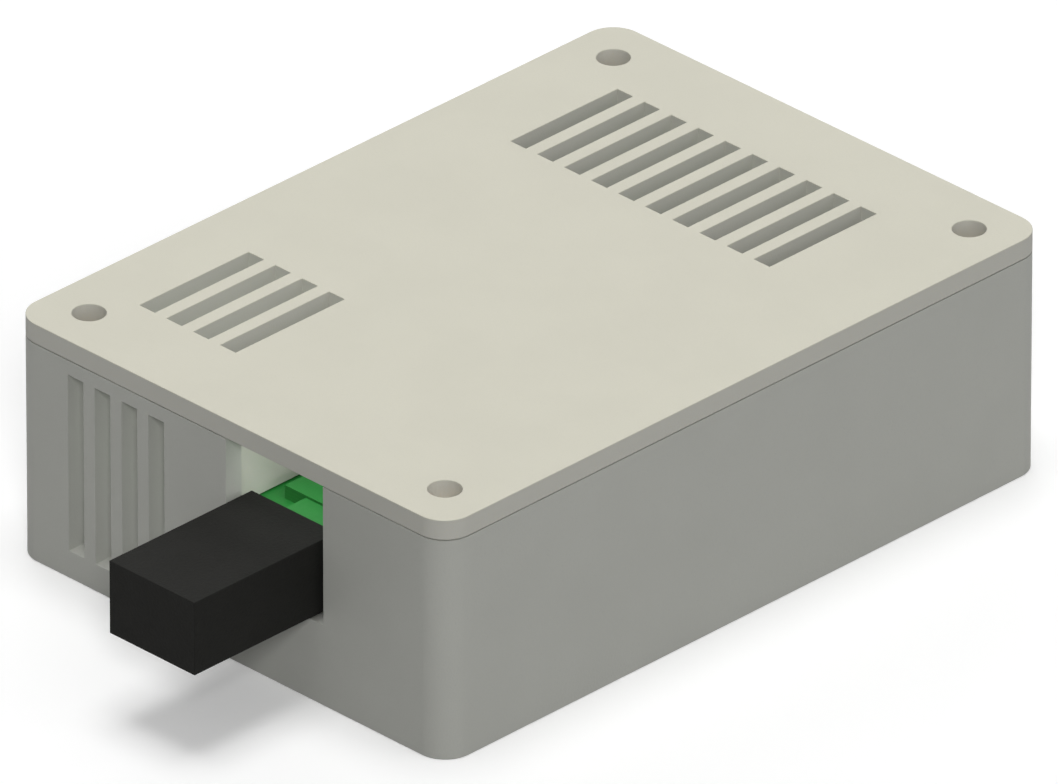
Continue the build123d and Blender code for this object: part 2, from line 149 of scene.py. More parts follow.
plastics = {
    "lid": {
        # the side colour is painted shade, a cooler tint for the lid's sides and underside
        "name": "creamShell", "colour": (0.64, 0.624, 0.524), "paintedShadeSideColour": (0.6, 0.595, 0.54),
        "roughness": 0.55, "ior": 1.5, "gloss": 0.35, "grainScale": 5200.0, "grainDepth": 0.000022,
        "flowScale": 130.0, "spread": 0.012, "pitShade": 0.96,
    },
    "lidEdge": {
        "name": "creamShellEdge", "colour": (0.60, 0.585, 0.49),
        "roughness": 0.4, "ior": 1.5, "gloss": 0.4, "grainScale": 2600.0, "grainDepth": 0.000004,
        "flowScale": 130.0, "spread": 0.03, "pitShade": 0.96,
    },
    "body": {
        "name": "greyShell", "colour": (0.533, 0.539, 0.497),
        "roughness": 0.55, "ior": 1.5, "gloss": 0.35, "grainScale": 5200.0, "grainDepth": 0.000022,
        "flowScale": 120.0, "spread": 0.012, "pitShade": 0.96,
    },
    "bodyEdge": {
        "name": "greyShellEdge", "colour": (0.50, 0.505, 0.465),
        "roughness": 0.4, "ior": 1.5, "gloss": 0.4, "grainScale": 2600.0, "grainDepth": 0.000004,
        "flowScale": 120.0, "spread": 0.03, "pitShade": 0.96,
    },
    "overmould": {
        "name": "softBlackOvermould", "colour": (0.0165, 0.0165, 0.015),
        "roughness": 0.7, "ior": 1.45, "gloss": 0.1, "grainScale": 3600.0, "grainDepth": 0.00005,
        "flowScale": 240.0, "spread": 0.06, "pitShade": 0.8,
    },
    "header": {
        "name": "blackHeaderNylon", "colour": (0.018, 0.018, 0.018),
        "roughness": 0.45, "ior": 1.5, "gloss": 0.5, "grainScale": 6000.0, "grainDepth": 0.000006,
        "flowScale": 400.0, "spread": 0.1, "pitShade": 0.8,
    },
    "epoxy": {
        "name": "chipEpoxy", "colour": (0.024, 0.024, 0.025),
        "roughness": 0.6, "ior": 1.5, "gloss": 0.4, "grainScale": 9000.0, "grainDepth": 0.000008,
        "flowScale": 500.0, "spread": 0.12, "pitShade": 0.75,
    },
    "fuse": {
        "name": "greenFusePolymer", "colour": (0.045, 0.16, 0.06),
        "roughness": 0.4, "ior": 1.5, "gloss": 0.5, "grainScale": 5000.0, "grainDepth": 0.00001,
        "flowScale": 300.0, "spread": 0.1, "pitShade": 0.85,
    },
    "ceramic": {
        "name": "tanCeramic", "colour": (0.36, 0.25, 0.15),
        "roughness": 0.35, "ior": 1.6, "gloss": 0.5, "grainScale": 9000.0, "grainDepth": 0.000005,
        "flowScale": 600.0, "spread": 0.12, "pitShade": 0.85,
    },
    "print": {
        "name": "whiteBoardPrint", "colour": (0.78, 0.78, 0.76),
        "roughness": 0.6, "ior": 1.45, "gloss": 0.4, "grainScale": 9000.0, "grainDepth": 0.000006,
        "flowScale": 700.0, "spread": 0.03, "pitShade": 0.9,
    },
    "membrane": {
        "name": "whiteMembrane", "colour": (0.8, 0.8, 0.79),
        "roughness": 0.85, "ior": 1.35, "gloss": 0.3, "grainScale": 12000.0, "grainDepth": 0.00002,
        "flowScale": 900.0, "spread": 0.02, "pitShade": 0.9,
    },
}
materials = {key: mouldedPlastic(finish) for key, finish in plastics.items()}

boardTexture = {
    "cloth": {"Distortion": 0.6, "Detail": 1.0}, "layers": {"Distortion": 2.0, "Detail": 2.0},
    "clothShare": 0.35, "clothDepth": 0.3, "rippleDepth": 0.5, "layerShade": 0.9, "edgeRange": (0.4, 0.6),
}


def bands(tree, place, scale, direction, shape):
    inputs = {"Vector": place, "Scale": scale, **shape}
    return addNode(tree, "ShaderNodeTexWave", inputs, bands_direction=direction).outputs["Fac"]


def solderMask(finish):
    # Glass cloth shows faintly through the mask, and the cut edge is plain laminate
    material, tree, surface, place = newMaterial(finish["name"])
    colour = finish["colour"]
    laminate = finish["laminate"]
    spread = finish["spread"]
    warp, weft = (bands(tree, place, finish["clothScale"], axis, boardTexture["cloth"]) for axis in "XY")
    cloth = maths(tree, "MULTIPLY", warp, weft)
    clothShade = maths(tree, "MULTIPLY", cloth, boardTexture["clothShare"])
    mottle = noise(tree, place, finish["mottleScale"])
    mottle = maths(tree, "MULTIPLY", mottle, 1 - boardTexture["clothShare"])
    shade = maths(tree, "ADD", clothShade, mottle)
    mask = blendColours(tree, shade, rgba(colour, 1 - spread), rgba(colour, 1 + spread))
    layers = bands(tree, place, finish["layerScale"], "Z", boardTexture["layers"])
    edge = blendColours(tree, layers, rgba(laminate, boardTexture["layerShade"]), rgba(laminate))
    normal = addNode(tree, "ShaderNodeNewGeometry").outputs["True Normal"]
    upward = maths(tree, "ABSOLUTE", addNode(tree, "ShaderNodeSeparateXYZ", {0: normal}).outputs["Z"])
    board = blendColours(tree, ramp(tree, upward, *boardTexture["edgeRange"]), edge, mask)
    tree.links.new(board, surface.inputs["Base Color"])
    ripple = noise(tree, place, finish["rippleScale"])
    height = maths(tree, "ADD", maths(tree, "MULTIPLY", cloth, boardTexture["clothDepth"]),
                   maths(tree, "MULTIPLY", ripple, boardTexture["rippleDepth"]))
    tree.links.new(bump(tree, height, finish["depth"]), surface.inputs["Normal"])
    surface.inputs["Roughness"].default_value = finish["roughness"]
    surface.inputs["Specular IOR Level"].default_value = finish["gloss"]
    return material


boards = {
    "mainBoard": {
        "name": "greenSolderMask", "colour": (0.028, 0.262, 0.049), "laminate": (0.036, 0.25, 0.052),
        "clothScale": 550.0, "mottleScale": 260.0, "spread": 0.07, "layerScale": 900.0,
        "rippleScale": 900.0, "depth": 0.00001, "roughness": 0.42, "gloss": 0.4,
    },
    "radioBoard": {
        "name": "greenModuleMask", "colour": (0.028, 0.262, 0.049), "laminate": (0.036, 0.25, 0.052),
        "clothScale": 800.0, "mottleScale": 400.0, "spread": 0.06, "layerScale": 900.0,
        "rippleScale": 1200.0, "depth": 0.000008, "roughness": 0.4, "gloss": 0.4,
    },
    "track": {
        "name": "maskOverCopper", "colour": (0.055, 0.33, 0.08), "laminate": (0.055, 0.33, 0.08),
        "clothScale": 550.0, "mottleScale": 500.0, "spread": 0.08, "layerScale": 900.0,
        "rippleScale": 1500.0, "depth": 0.000006, "roughness": 0.36, "gloss": 0.5,
    },
}
for key, finish in boards.items():
    materials[key] = solderMask(finish)

rolledTexture = {
    "lines": {"detail": 3.0, "roughness": 0.6}, "patches": {"detail": 3.0}, "dull": 0.86, "bright": 1.06,
    "smoother": 0.1, "rougher": 0.12,
}


def sheetMetal(finish):
    # Rolled or plated metal: fine lines along one axis, with dull patches
    material, tree, surface, place = newMaterial(finish["name"])
    drawn = addNode(tree, "ShaderNodeMapping", {"Vector": place, "Scale": finish["stretch"]}).outputs[0]
    lines = noise(tree, drawn, finish["lineScale"], **rolledTexture["lines"])
    patches = noise(tree, place, finish["patchScale"], **rolledTexture["patches"])
    dull = rgba(finish["colour"], rolledTexture["dull"])
    bright = rgba(finish["colour"], rolledTexture["bright"])
    tree.links.new(blendColours(tree, patches, dull, bright), surface.inputs["Base Color"])
    roughness = swing(tree, lines, finish["roughness"], rolledTexture["smoother"], rolledTexture["rougher"])
    tree.links.new(roughness, surface.inputs["Roughness"])
    tree.links.new(bump(tree, lines, finish["depth"]), surface.inputs["Normal"])
    surface.inputs["Metallic"].default_value = finish["metal"]
    surface.inputs["Specular IOR Level"].default_value = finish["gloss"]
    return material


metals = {
    "brass": {
        "name": "turnedBrass", "colour": (0.58, 0.41, 0.17), "roughness": 0.34, "metal": 1.0, "gloss": 0.5,
        "stretch": (0.1, 0.1, 3.0), "lineScale": 3000.0, "patchScale": 700.0, "depth": 0.000004,
    },
    "gold": {
        "name": "goldFlash", "colour": (0.62, 0.44, 0.16), "roughness": 0.34, "metal": 1.0, "gloss": 0.5,
        "stretch": (1.0, 1.0, 0.2), "lineScale": 4000.0, "patchScale": 900.0, "depth": 0.000002,
    },
    "zinc": {
        "name": "zincScrew", "colour": (0.42, 0.43, 0.44), "roughness": 0.4, "metal": 1.0, "gloss": 0.5,
        "stretch": (1.0, 1.0, 1.0), "lineScale": 5000.0, "patchScale": 900.0, "depth": 0.000003,
    },
    "tin": {
        "name": "solderTin", "colour": (0.44, 0.44, 0.435), "roughness": 0.5, "metal": 1.0, "gloss": 0.5,
        "stretch": (1.0, 1.0, 1.0), "lineScale": 2500.0, "patchScale": 800.0, "depth": 0.000006,
    },
    "can": {
        "name": "tinnedShield", "colour": (0.44, 0.44, 0.435), "roughness": 0.42, "metal": 1.0, "gloss": 0.5,
        "stretch": (0.04, 1.0, 1.0), "lineScale": 5000.0, "patchScale": 160.0, "depth": 0.000004,
    },
    "aluminium": {
        "name": "canAluminium", "colour": (0.45, 0.45, 0.46), "roughness": 0.54, "metal": 1.0, "gloss": 0.5,
        "stretch": (1.0, 1.0, 0.05), "lineScale": 5000.0, "patchScale": 500.0, "depth": 0.000003,
    },
    "tip": {
        "name": "nickelTip", "colour": (0.48, 0.475, 0.46), "roughness": 0.34, "metal": 1.0, "gloss": 0.5,
        "stretch": (1.0, 0.04, 1.0), "lineScale": 5000.0, "patchScale": 300.0, "depth": 0.000003,
    },
    "lacquer": {
        "name": "greenLacquer", "colour": (0.028, 0.262, 0.049), "roughness": 0.42, "metal": 0.0,
        "gloss": 0.4, "stretch": (1.0, 1.0, 1.0), "lineScale": 1800.0, "patchScale": 400.0,
        "depth": 0.000008,
    },
}
for key, finish in metals.items():
    materials[key] = sheetMetal(finish)


def clearResin(finish):
    material, tree, surface, place = newMaterial(finish["name"])
    cloud = noise(tree, place, finish["cloudScale"])
    cloudy = rgba(finish["colour"], finish["cloudShade"])
    tree.links.new(blendColours(tree, cloud, cloudy, rgba(finish["colour"])), surface.inputs["Base Color"])
    surface.inputs["Roughness"].default_value = finish["roughness"]
    surface.inputs["Transmission Weight"].default_value = finish["clearness"]
    return material


materials["resin"] = clearResin({
    "name": "ledResin", "colour": (0.85, 0.86, 0.78), "cloudScale": 2500.0, "cloudShade": 0.9,
    "roughness": 0.12, "clearness": 0.35,
})
print("materials:", len(bpy.data.materials))


# CAD nodes whose shape is right keep it and take a better material

finishOfNode = {
    "main_board": "mainBoard", "radio_board": "radioBoard", "sensor_board": "mainBoard",
    "receptacle_shell": "lacquer", "receptacle_tongue": "header", "plug_tip": "tip",
    "radio_can": "can", "bridge_chip": "epoxy", "fuse": "fuse", "status_led": "resin",
    "regulator_body": "epoxy", "regulator_leads": "tin",
    "capacitor_base_left": "header", "capacitor_base_right": "header",
    "capacitor_can_left": "aluminium", "capacitor_can_right": "aluminium",
    "service_strip": "header", "sensor_strip": "header", "service_pins": "gold", "sensor_pins": "gold",
    "sensor_package": "epoxy", "sensor_filter": "membrane", "small_chips": "ceramic",
    "board_screws": "zinc", "insert_front_left": "brass", "insert_front_right": "brass",
    "insert_rear_left": "brass", "insert_rear_right": "brass",
    "enclosure_body": "body", "enclosure_lid": "lid", "plug_overmould": "overmould",
}
for node, key in finishOfNode.items():
    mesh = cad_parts[node].data
    mesh.materials.clear()
    mesh.materials.append(materials[key])


# Moulded pieces: the CAD shape with its edges broken as the mould breaks them

bodyLow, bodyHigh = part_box("enclosure_body")
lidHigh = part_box("enclosure_lid")[1]
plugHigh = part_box("plug_overmould")[1]
cornerRadius = 3.0 * mm
closeness = 0.01 * mm
meshRules = {"weldGap": 0.002, "fineWeldGap": 0.0005, "flatAngle": 0.5, "facing": 0.99}


def near(value, target):
    return abs(value - target) < closeness


def onOutline(co):
    # On the box's outer walls or its rounded corners
    awayX = abs(co.x) - (bodyHigh.x - cornerRadius)
    awayY = abs(co.y) - (bodyHigh.y - cornerRadius)
    if awayX > 0 and awayY > 0:
        return math.hypot(awayX, awayY) > cornerRadius - 2 * closeness
    return near(abs(co.x), bodyHigh.x) or near(abs(co.y), bodyHigh.y)


def cleanCopy(node, name):
    # The CAD's loose triangles, joined up again into whole faces
    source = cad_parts[node].data
    mesh = bpy.data.meshes.new(name)
    mesh.from_pydata([v.co for v in source.vertices], [], [tuple(p.vertices) for p in source.polygons])
    work = bmesh.new()
    work.from_mesh(mesh)
    bmesh.ops.remove_doubles(work, verts=work.verts, dist=meshRules["weldGap"] * mm)
    flat = math.radians(meshRules["flatAngle"])
    bmesh.ops.dissolve_limit(work, angle_limit=flat, verts=work.verts, edges=work.edges)
    return mesh, work


def ringFlatFace(work, axis, level, inset):
    # Lays a ring of faces along every rim of a flat face, so that its edges can be rounded cleanly
    flat = [face for face in work.faces
            if abs(face.normal[axis]) > meshRules["facing"] and near(face.calc_center_median()[axis], level)]
    normal = flat[0].normal.copy()
    ring = set(bmesh.ops.inset_region(work, faces=flat, thickness=inset * mm, use_boundary=True,
                                      use_even_offset=True)["faces"])
    rim = {edge for face in flat for edge in face.edges if ring & set(edge.link_faces)}
    bmesh.ops.delete(work, geom=flat, context="FACES")
    bmesh.ops.triangle_fill(work, use_beauty=True, edges=list(rim), normal=normal)


def openSeam(work, level, gap, step):
    # Lowers the outermost strip of the body's rim, which leaves a fine dark joint under the lid
    rim = [vertex for vertex in work.verts if near(vertex.co.z, level) and onOutline(vertex.co)]
    for vertex in rim:
        vertex.co.z -= gap * mm
    ringFlatFace(work, 2, level, step)
    inner = {edge.other_vert(vertex) for vertex in work.verts for edge in vertex.link_edges
             if near(vertex.co.z, level - gap * mm) and onOutline(vertex.co)}
    for vertex in inner:
        if near(vertex.co.z, level):
            vertex.co.z -= gap * mm


def breakEdges(work, least, rules):
    # Each rule is a share of the bevel's width and a test of an edge's two ends
    weights = work.edges.layers.float.new("bevel_weight_edge")
    for edge in work.edges:
        if len(edge.link_faces) != 2 or edge.calc_face_angle_signed(0) < math.radians(least):
            continue
        for share, test in rules:
            if all(test(vertex.co) for vertex in edge.verts):
                edge[weights] = share
                break


def finalMesh(piece):
    # What the piece's modifiers make of it
    return bpy.data.meshes.new_from_object(piece.evaluated_get(bpy.context.evaluated_depsgraph_get()))


def finishMoulding(name, mesh, work, piece):
    work.to_mesh(mesh)
    work.free()
    mesh.materials.append(materials[piece["face"]])
    mesh.materials.append(materials[piece["edge"]])
    moulding = bpy.data.objects.new(name, mesh)
    sceneCollection.objects.link(moulding)
    bevel = moulding.modifiers.new("brokenEdges", "BEVEL")
    bevel.limit_method = "WEIGHT"
    bevel.width = piece["edgeWidth"] * mm
    bevel.segments = piece["segments"]
    bevel.use_clamp_overlap = False
    bevel.material = 1
    moulding.data = finalMesh(moulding)
    moulding.modifiers.clear()
    bpy.data.meshes.remove(mesh)
    moulding.data.name = name
    moulding.data.shade_smooth()
    moulding.data.set_sharp_from_angle(angle=math.radians(piece["sharpAngle"]))
    moulding.modifiers.new("evenShade", "WEIGHTED_NORMAL").keep_sharp = True
    return moulding


lidPiece = {
    "face": "lid", "edge": "lidEdge", "edgeWidth": 0.07, "segments": 3, "edgeAngle": 25, "sharpAngle": 32,
    "ring": 0.35,
}
bodyPiece = {
    "face": "body", "edge": "bodyEdge", "edgeWidth": 0.08, "segments": 3, "edgeAngle": 25, "sharpAngle": 32,
    "ring": 0.35, "foot": 1.0, "frontWall": 0.8, "seamGap": 0.15, "seamStep": 0.03,
}
plugPiece = {
    "face": "overmould", "edge": "overmould", "edgeWidth": 0.04, "segments": 2, "edgeAngle": 25,
    "sharpAngle": 32,
}

mesh, work = cleanCopy("enclosure_lid", "lidMoulding")
ringFlatFace(work, 2, lidHigh.z, lidPiece["ring"])
ringFlatFace(work, 2, bodyHigh.z, lidPiece["ring"])
breakEdges(work, lidPiece["edgeAngle"], [(1.0, lambda co: near(co.z, lidHigh.z))])
lidMoulding = finishMoulding("lidMoulding", mesh, work, lidPiece)
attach(lidMoulding, enclosure)
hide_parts("enclosure_lid")

mesh, work = cleanCopy("enclosure_body", "bodyMoulding")
ringFlatFace(work, 2, bodyLow.z, bodyPiece["ring"])
ringFlatFace(work, 2, bodyHigh.z, bodyPiece["ring"])
ringFlatFace(work, 1, bodyLow.y, bodyPiece["ring"])
openSeam(work, bodyHigh.z, bodyPiece["seamGap"], bodyPiece["seamStep"])
breakEdges(work, bodyPiece["edgeAngle"], [
    (bodyPiece["foot"], lambda co: near(co.z, bodyLow.z)),
    (bodyPiece["frontWall"], lambda co: near(co.y, bodyLow.y)),
])
bodyMoulding = finishMoulding("bodyMoulding", mesh, work, bodyPiece)
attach(bodyMoulding, enclosure)
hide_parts("enclosure_body")

mesh, work = cleanCopy("plug_overmould", "plugMoulding")
breakEdges(work, plugPiece["edgeAngle"], [(1.0, lambda co: not near(co.y, plugHigh.y))])
plugMoulding = finishMoulding("plugMoulding", mesh, work, plugPiece)
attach(plugMoulding, plug)
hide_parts("plug_overmould")
for moulding in (lidMoulding, bodyMoulding, plugMoulding):
    print(moulding.name, len(moulding.data.polygons), "faces")


# Small repeated pieces, each grown by a Geometry Nodes tree on the places that the CAD gives

def looseBoxes(node):
    # Lowest and highest corner of each separate piece in a node
    mesh, work = cleanCopy(node, "loosePieces")
    waiting = set(work.verts)
    boxes = []
    while waiting:
        reached = [waiting.pop()]
        island = []
        while reached:
            vertex = reached.pop()
            island.append(vertex.co.copy())
            for edge in vertex.link_edges:
                other = edge.other_vert(vertex)
                if other in waiting:
                    waiting.remove(other)
                    reached.append(other)
        low = Vector([min(co[i] for co in island) for i in range(3)])
        high = Vector([max(co[i] for co in island) for i in range(3)])
        boxes.append((low, high))
    work.free()
    bpy.data.meshes.remove(mesh)
    return sorted(boxes, key=lambda box: (round(box[0].y, 5), round(box[0].x, 5)))


def newTree(name, inputs):
    tree = bpy.data.node_groups.new(name, "GeometryNodeTree")
    tree.interface.new_socket("Places", in_out="INPUT", socket_type="NodeSocketGeometry")
    tree.interface.new_socket("Mesh", in_out="OUTPUT", socket_type="NodeSocketGeometry")
    kinds = {
        "Material": "NodeSocketMaterial", "Cap material": "NodeSocketMaterial", "Seed": "NodeSocketInt",
    }
    for label in inputs:
        tree.interface.new_socket(label, in_out="INPUT", socket_type=kinds.get(label, "NodeSocketFloat"))
    return tree, tree.nodes.new("NodeGroupInput").outputs


def vector(tree, x=0.0, y=0.0, z=0.0):
    return addNode(tree, "ShaderNodeCombineXYZ", {0: x, 1: y, 2: z}).outputs[0]


def position(tree):
    spot = addNode(tree, "GeometryNodeInputPosition").outputs[0]
    return addNode(tree, "ShaderNodeSeparateXYZ", {0: spot}).outputs


def moved(tree, geometry, place):
    return addNode(tree, "GeometryNodeTransform", {"Geometry": geometry, "Translation": place}).outputs[0]


def reshaped(tree, geometry, place):
    # Puts every point of a mesh in its new place
    return addNode(tree, "GeometryNodeSetPosition", {"Geometry": geometry, "Position": place}).outputs[0]


def joined(tree, *parts):
    node = addNode(tree, "GeometryNodeJoinGeometry")
    for part in parts:
        tree.links.new(part, node.inputs[0])
    return node.outputs[0]


def cylinder(tree, radius, depth, sides, rings=1):
    # Stands on its base, unlike Blender's own
    mesh = addNode(tree, "GeometryNodeMeshCylinder", {
        "Vertices": sides, "Fill Segments": rings, "Radius": radius, "Depth": depth}).outputs[0]
    return moved(tree, mesh, vector(tree, z=maths(tree, "MULTIPLY", depth, 0.5)))


def brick(tree, x, y, z):
    mesh = addNode(tree, "GeometryNodeMeshCube", {"Size": vector(tree, x, y, z)}).outputs[0]
    return moved(tree, mesh, vector(tree, z=maths(tree, "MULTIPLY", z, 0.5)))


def painted(tree, geometry, material):
    return addNode(tree, "GeometryNodeSetMaterial", {"Geometry": geometry, "Material": material}).outputs[0]


def cutAway(tree, solid, *cutters):
    node = addNode(tree, "GeometryNodeMeshBoolean", operation="DIFFERENCE")
    tree.links.new(solid, node.inputs[0])
    for cutter in cutters:
        tree.links.new(cutter, node.inputs[1])
    return node.outputs[0]


def setOnPlaces(tree, places, part, turn=None):
    inputs = {"Points": places, "Instance": part}
    if turn:
        inputs["Rotation"] = turn
    instances = addNode(tree, "GeometryNodeInstanceOnPoints", inputs).outputs[0]
    real = addNode(tree, "GeometryNodeRealizeInstances", {"Geometry": instances}).outputs[0]
    addNode(tree, "NodeGroupOutput", {0: real})


def grow(name, tree, places, sizes, finishes, edges=(), seed=None, sharp=35):
    # Runs a tree on a list of places, or on paths, and keeps the result as a plain mesh
    mesh = bpy.data.meshes.new(name)
    mesh.from_pydata(places, edges, [])
    piece = bpy.data.objects.new(name, mesh)
    sceneCollection.objects.link(piece)
    modifier = piece.modifiers.new(name, "NODES")
    modifier.node_group = tree
    values = {label: size * mm for label, size in sizes.items()}
    values.update(finishes)
    if seed is not None:
        values["Seed"] = seed
    for socket in tree.interface.items_tree:
        if socket.in_out == "INPUT" and socket.name in values:
            modifier[socket.identifier] = values[socket.name]
    piece.data = finalMesh(piece)
    piece.modifiers.clear()
    bpy.data.meshes.remove(mesh)
    work = bmesh.new()
    work.from_mesh(piece.data)
    bmesh.ops.remove_doubles(work, verts=work.verts, dist=meshRules["fineWeldGap"] * mm)
    bmesh.ops.recalc_face_normals(work, faces=work.faces)
    work.to_mesh(piece.data)
    work.free()
    piece.data.name = name
    piece.data.shade_smooth()
    piece.data.set_sharp_from_angle(angle=math.radians(sharp))
    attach(piece, enclosure)
    return piece


def middleOf(box, z):
    return Vector(((box[0].x + box[1].x) / 2, (box[0].y + box[1].y) / 2, z))


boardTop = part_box("main_board")[1].z
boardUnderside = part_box("main_board")[0].z
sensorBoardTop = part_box("sensor_board")[1].z

# Board screws: crowned heads with a cross recess, each turned as it was driven
screwPiece = {
    "Head diameter": 3.8, "Head height": 1.4, "Crown drop": 0.55, "Shank diameter": 1.98,
    "Shank length": 5.99, "Recess span": 2.1, "Recess width": 0.5, "Recess depth": 0.8, "Recess step": 0.04,
}
screwMesh = {"headSides": 48, "headRings": 6, "shankSides": 32, "seed": 7}
tree, given = newTree("crossScrew", list(screwPiece) + ["Seed", "Material"])
headRadius = maths(tree, "MULTIPLY", given["Head diameter"], 0.5)
head = cylinder(tree, headRadius, given["Head height"], screwMesh["headSides"], screwMesh["headRings"])
spot = position(tree)
squares = [maths(tree, "POWER", spot[axis], 2.0) for axis in (0, 1)]
fromAxis = maths(tree, "DIVIDE", maths(tree, "ADD", *squares), maths(tree, "POWER", headRadius, 2.0))
fall = maths(tree, "MULTIPLY", maths(tree, "MULTIPLY", fromAxis, given["Crown drop"]), -1.0)
fall = maths(tree, "MULTIPLY", fall, maths(tree, "DIVIDE", spot[2], given["Head height"]))
crown = {"Geometry": head, "Offset": vector(tree, z=fall)}
head = addNode(tree, "GeometryNodeSetPosition", crown).outputs[0]
recessLevel = maths(tree, "SUBTRACT", given["Head height"], given["Recess depth"])
crossLevel = maths(tree, "ADD", recessLevel, given["Recess step"])  # the two floors never share a plane
arms = [
    (brick(tree, given["Recess span"], given["Recess width"], given["Head height"]), recessLevel),
    (brick(tree, given["Recess width"], given["Recess span"], given["Head height"]), crossLevel),
]
head = cutAway(tree, head, *[moved(tree, arm, vector(tree, z=level)) for arm, level in arms])
shankRadius = maths(tree, "MULTIPLY", given["Shank diameter"], 0.5)
shank = cylinder(tree, shankRadius, given["Shank length"], screwMesh["shankSides"])
shank = moved(tree, shank, vector(tree, z=maths(tree, "MULTIPLY", given["Shank length"], -1.0)))
screw = painted(tree, joined(tree, head, shank), given["Material"])
turns = {"Seed": given["Seed"], "Min": (0.0, 0.0, 0.0), "Max": (0.0, 0.0, math.pi)}
turn = addNode(tree, "FunctionNodeRandomValue", turns, data_type="FLOAT_VECTOR").outputs[0]
setOnPlaces(tree, given["Places"], screw, turn)
screwBoxes = looseBoxes("board_screws")
boardScrews = grow("boardScrews", tree, [middleOf(box, boardTop) for box in screwBoxes], screwPiece,
                   {"Material": materials["zinc"]}, seed=screwMesh["seed"])
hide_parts("board_screws")

# Brass inserts: a helical thread inside and two knurled bands outside, on one folded grid
insertPiece = {
    "Bore diameter": 2.5, "Outer diameter": 4.2, "Length": 5.0, "Thread pitch": 0.5, "Thread depth": 0.25,
    "Knurl depth": 0.12, "Groove depth": 0.3,
}
insertRows = {"inner": 81, "outer": 46, "around": 60, "knurls": 30, "grooveShare": 1 / 6, "sharpAngle": 50}
tree, given = newTree("threadedInsert", list(insertPiece) + ["Material"])
rows = insertRows["inner"] + insertRows["outer"]
grid = addNode(tree, "GeometryNodeMeshGrid", {
    "Size X": 1.0, "Size Y": 1.0, "Vertices X": insertRows["around"] + 1, "Vertices Y": rows + 1,
}).outputs[0]
spot = position(tree)
share = maths(tree, "ADD", spot[0], 0.5)
row = maths(tree, "ROUND", maths(tree, "MULTIPLY", maths(tree, "ADD", spot[1], 0.5), float(rows)))
row = maths(tree, "MODULO", row, float(rows))
isOuter = maths(tree, "GREATER_THAN", row, insertRows["inner"] - 0.5)
innerRise = maths(tree, "DIVIDE", row, insertRows["inner"] - 1.0)
outerRise = maths(tree, "DIVIDE", maths(tree, "SUBTRACT", row, rows - 1.0), 1.0 - insertRows["outer"])
rise = addNode(tree, "ShaderNodeMix", {0: isOuter, 2: innerRise, 3: outerRise}).outputs[0]
height = maths(tree, "MULTIPLY", rise, given["Length"])
helix = maths(tree, "ADD", maths(tree, "DIVIDE", height, given["Thread pitch"]), share)
flank = maths(tree, "MULTIPLY", maths(tree, "PINGPONG", helix, 0.5), 2.0)
fromEnd = maths(tree, "PINGPONG", height, maths(tree, "MULTIPLY", given["Length"], 0.5))
leadIn = maths(tree, "SUBTRACT", 1.0, ramp(tree, fromEnd, 0.0, given["Thread pitch"]))
innerRadius = maths(tree, "MULTIPLY", maths(tree, "MAXIMUM", flank, leadIn), given["Thread depth"])
innerRadius = maths(tree, "ADD", maths(tree, "MULTIPLY", given["Bore diameter"], 0.5), innerRadius)
knurl = maths(tree, "PINGPONG", maths(tree, "MULTIPLY", share, float(insertRows["knurls"])), 0.5)
knurl = maths(tree, "MULTIPLY", maths(tree, "MULTIPLY", knurl, 2.0), given["Knurl depth"])
fromMiddle = maths(tree, "ABSOLUTE", maths(tree, "SUBTRACT", rise, 0.5))
inGroove = maths(tree, "LESS_THAN", fromMiddle, insertRows["grooveShare"])
cut = addNode(tree, "ShaderNodeMix", {0: inGroove, 2: knurl, 3: given["Groove depth"]}).outputs[0]
outerRadius = maths(tree, "SUBTRACT", maths(tree, "MULTIPLY", given["Outer diameter"], 0.5), cut)
radius = addNode(tree, "ShaderNodeMix", {0: isOuter, 2: innerRadius, 3: outerRadius}).outputs[0]
angle = maths(tree, "MULTIPLY", share, 2 * math.pi)
folded = vector(tree, maths(tree, "MULTIPLY", maths(tree, "COSINE", angle), radius),
                maths(tree, "MULTIPLY", maths(tree, "SINE", angle), radius), height)
insert = reshaped(tree, grid, folded)
setOnPlaces(tree, given["Places"], painted(tree, insert, given["Material"]))
insertNodes = ["insert_front_left", "insert_front_right", "insert_rear_left", "insert_rear_right"]
insertBoxes = [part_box(node) for node in insertNodes]
brassInserts = grow("brassInserts", tree, [middleOf(box, box[0].z) for box in insertBoxes], insertPiece,
                    {"Material": materials["brass"]}, sharp=insertRows["sharpAngle"])
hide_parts(*insertNodes)

# Capped parts: a block between two tinned end caps, soldered down with a sloped fillet at each end
cappedPiece = {
    "Cap length": 0.4, "Cap wrap": 0.06, "Fillet reach": 0.35, "Fillet tip": 0.11, "Fillet height": 0.35,
}
cappedEdge = {"width": 0.04, "segments": 2}
blockSizes = ["Width", "Length", "Height"]
tree, given = newTree("cappedPart", blockSizes + list(cappedPiece) + ["Material", "Cap material"])
core = brick(tree, maths(tree, "SUBTRACT", given["Width"], given["Cap wrap"]),
             maths(tree, "SUBTRACT", given["Length"], given["Cap length"]),
             maths(tree, "SUBTRACT", given["Height"], given["Cap wrap"]))
capPlace = maths(tree, "MULTIPLY", maths(tree, "SUBTRACT", given["Length"], given["Cap length"]), 0.5)
cap = brick(tree, given["Width"], given["Cap length"], given["Height"])
filletPlace = maths(tree, "MULTIPLY", given["Length"], 0.5)
filletSpan = maths(tree, "MULTIPLY", given["Fillet reach"], 2.0)
fillet = brick(tree, given["Width"], filletSpan, given["Fillet height"])
spot = position(tree)
rise = maths(tree, "DIVIDE", spot[2], given["Fillet height"])
lean = maths(tree, "SUBTRACT", 1.0, maths(tree, "DIVIDE", given["Fillet tip"], given["Fillet reach"]))
narrowing = maths(tree, "SUBTRACT", 1.0, maths(tree, "MULTIPLY", rise, lean))
narrowed = maths(tree, "MULTIPLY", spot[1], narrowing)
fillet = reshaped(tree, fillet, vector(tree, spot[0], narrowed, spot[2]))
ends = []
